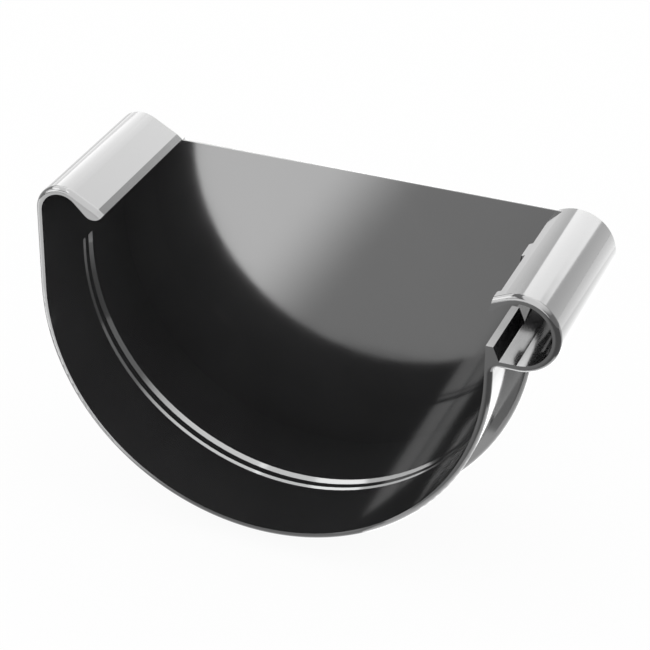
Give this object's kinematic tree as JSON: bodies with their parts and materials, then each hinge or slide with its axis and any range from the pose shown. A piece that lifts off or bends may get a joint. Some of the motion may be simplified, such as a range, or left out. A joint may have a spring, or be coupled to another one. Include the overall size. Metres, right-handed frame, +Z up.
{
  "type": "gutter end cap",
  "caption": "Half round gutter end cap with a rear hook lip, a round front clip for the gutter bead and a flat end wall; it slides over the open end of a gutter and closes it.",
  "frame": {"origin": "centre of the gutter circle in the plane of the open rim", "axes": "as hung in use: +X across the gutter from the rear hook to the front clip, +Y from the open rim towards the end wall, +Z up"},
  "size_m": [0.1514, 0.051, 0.1004],
  "materials": {
    "black_plastic": "glossy moulded black plastic"
  },
  "bodies": {
    "root": {"end_cap": "black_plastic"}
  },
  "joints": []
}
